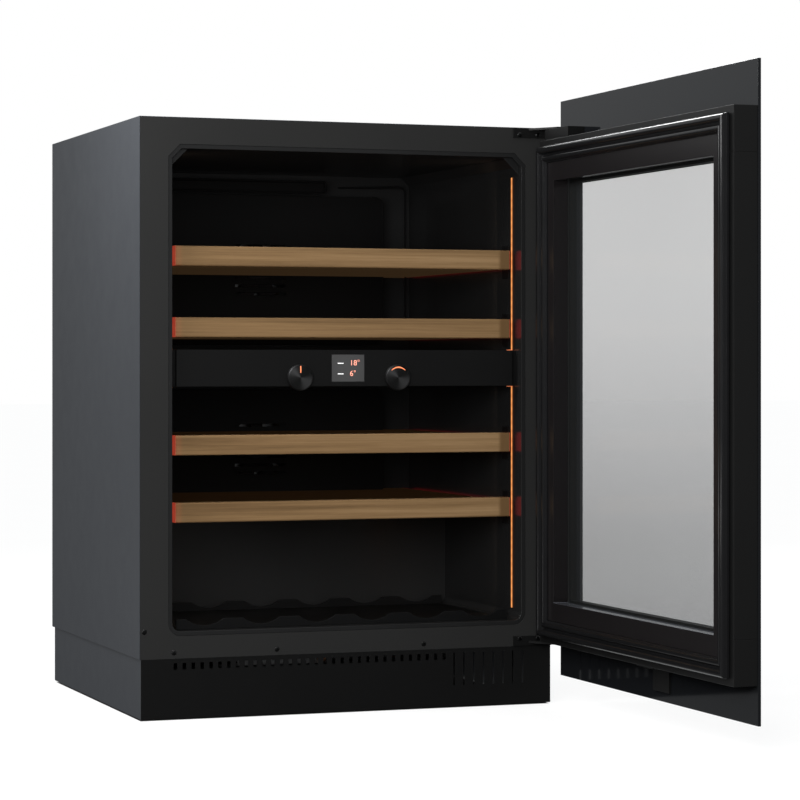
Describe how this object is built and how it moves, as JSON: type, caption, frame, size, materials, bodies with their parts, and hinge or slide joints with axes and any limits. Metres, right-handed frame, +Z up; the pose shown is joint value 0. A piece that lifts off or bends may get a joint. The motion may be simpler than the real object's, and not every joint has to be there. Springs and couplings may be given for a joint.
{
  "type": "wine cooler",
  "caption": "Under-counter two-zone wine cooler with an open full-glass door, wooden pull-out shelves, a control bar and amber lighting.",
  "frame": {"origin": "on the floor under the middle of the cabinet, door not counted", "axes": "+X towards the hinge side, -Y out of the cabinet's front, +Z up"},
  "size_m": [0.599, 1.1395, 0.841],
  "materials": {
    "painted_steel": "satin dark grey powder coat",
    "galvanised_steel": "dark plated steel",
    "foam": "rigid polyurethane foam",
    "dark_plastic": "satin black moulding",
    "display": "dark lens over amber digits",
    "circuit_board": "green board",
    "amber_light": "amber diffuser",
    "bare_aluminium": "bare sheet",
    "copper": "copper tube",
    "compressor_black": "gloss black paint",
    "rubber": "matte black",
    "spun_metal": "spun, dark anodised",
    "zinc_screws": "zinc plated",
    "bush_plastic": "plain black",
    "beech": "oiled, satin",
    "tinted_glass": "clear float glass",
    "printed_glass": "tinted glass, dark printed margin"
  },
  "bodies": {
    "cabinet": {"outer_shell": "painted_steel", "rear_panel": "painted_steel", "cabinet_bottom": "galvanised_steel", "base_pan": "galvanised_steel", "insulation_foam": "foam", "inner_liner": "dark_plastic", "front_frame": "painted_steel", "front_bottom_rail": "painted_steel", "plinth_grille": "painted_steel", "plinth_sides": "painted_steel", "zone_divider": "foam", "control_fascia": "dark_plastic", "display_module": "display", "control_board": "circuit_board", "led_strips": "amber_light", "duct_covers": "dark_plastic", "fan_housings": "dark_plastic", "evaporators": "bare_aluminium", "shelf_rails": "galvanised_steel", "bottle_rest": "dark_plastic", "compressor": "compressor_black", "compressor_grommets": "rubber", "condenser": "copper", "refrigerant_pipes": "copper", "rear_grille": "galvanised_steel", "power_inlet": "dark_plastic", "hinge_brackets": "galvanised_steel", "hinge_pins": "galvanised_steel", "cabinet_screws": "zinc_screws"},
    "door": {"door_frame": "painted_steel", "door_inner_trim": "dark_plastic", "door_gasket": "rubber", "inner_pane": "tinted_glass", "glazing_spacer": "bare_aluminium", "front_glass_panel": "printed_glass", "panel_bracket": "galvanised_steel", "door_hinge_block": "dark_plastic", "hinge_bushes": "bush_plastic", "door_screws": "zinc_screws"},
    "shelf_1": {"shelf_1_front": "beech", "shelf_1_tray": "beech", "shelf_1_runners": "zinc_screws"},
    "shelf_2": {"shelf_2_front": "beech", "shelf_2_tray": "beech", "shelf_2_runners": "zinc_screws"},
    "shelf_3": {"shelf_3_front": "beech", "shelf_3_tray": "beech", "shelf_3_runners": "zinc_screws"},
    "shelf_4": {"shelf_4_front": "beech", "shelf_4_tray": "beech", "shelf_4_runners": "zinc_screws"},
    "power_knob_body": {"power_knob": "spun_metal"},
    "temperature_knob_body": {"temperature_knob": "spun_metal"},
    "upper_fan_rotor_body": {"upper_fan_rotor": "dark_plastic"},
    "lower_fan_rotor_body": {"lower_fan_rotor": "dark_plastic"},
    "condenser_fan_rotor_body": {"condenser_fan_rotor": "dark_plastic"},
    "foot_front_left_body": {"foot_front_left": "bush_plastic"},
    "foot_front_right_body": {"foot_front_right": "bush_plastic"},
    "foot_rear_left_body": {"foot_rear_left": "bush_plastic"},
    "foot_rear_right_body": {"foot_rear_right": "bush_plastic"}
  },
  "joints": [
    {"name": "door_swing", "type": "hinge", "parent": "cabinet", "child": "door", "pos_m": [0.2915, -0.294, 0.445], "axis": [0, 0, 1], "range_deg": [-90, 25]},
    {"name": "shelf_1_slide", "type": "slide", "parent": "cabinet", "child": "shelf_1", "axis": [0, -1, 0], "range_m": [0, 0.3]},
    {"name": "shelf_2_slide", "type": "slide", "parent": "cabinet", "child": "shelf_2", "axis": [0, -1, 0], "range_m": [0, 0.3]},
    {"name": "shelf_3_slide", "type": "slide", "parent": "cabinet", "child": "shelf_3", "axis": [0, -1, 0], "range_m": [0, 0.3]},
    {"name": "shelf_4_slide", "type": "slide", "parent": "cabinet", "child": "shelf_4", "axis": [0, -1, 0], "range_m": [0, 0.3]},
    {"name": "power_knob_turn", "type": "hinge", "parent": "cabinet", "child": "power_knob_body", "pos_m": [-0.0706, -0.2445, 0.4574], "axis": [0, 1, 0], "range_deg": [-135, 135]},
    {"name": "temperature_knob_turn", "type": "hinge", "parent": "cabinet", "child": "temperature_knob_body", "pos_m": [0.0706, -0.2445, 0.4574], "axis": [0, 1, 0], "range_deg": [-135, 135]},
    {"name": "upper_fan_spin", "type": "hinge", "parent": "cabinet", "child": "upper_fan_rotor_body", "pos_m": [0, 0.177, 0.6175], "axis": [0, 1, 0], "continuous": true},
    {"name": "lower_fan_spin", "type": "hinge", "parent": "cabinet", "child": "lower_fan_rotor_body", "pos_m": [0, 0.177, 0.348], "axis": [0, 1, 0], "continuous": true},
    {"name": "condenser_fan_spin", "type": "hinge", "parent": "cabinet", "child": "condenser_fan_rotor_body", "pos_m": [0.14, 0.157, 0.0815], "axis": [0, 1, 0], "continuous": true},
    {"name": "foot_front_left_height", "type": "slide", "parent": "cabinet", "child": "foot_front_left_body", "axis": [0, 0, -1], "range_m": [0, 0.02]},
    {"name": "foot_front_right_height", "type": "slide", "parent": "cabinet", "child": "foot_front_right_body", "axis": [0, 0, -1], "range_m": [0, 0.02]},
    {"name": "foot_rear_left_height", "type": "slide", "parent": "cabinet", "child": "foot_rear_left_body", "axis": [0, 0, -1], "range_m": [0, 0.02]},
    {"name": "foot_rear_right_height", "type": "slide", "parent": "cabinet", "child": "foot_rear_right_body", "axis": [0, 0, -1], "range_m": [0, 0.02]}
  ]
}
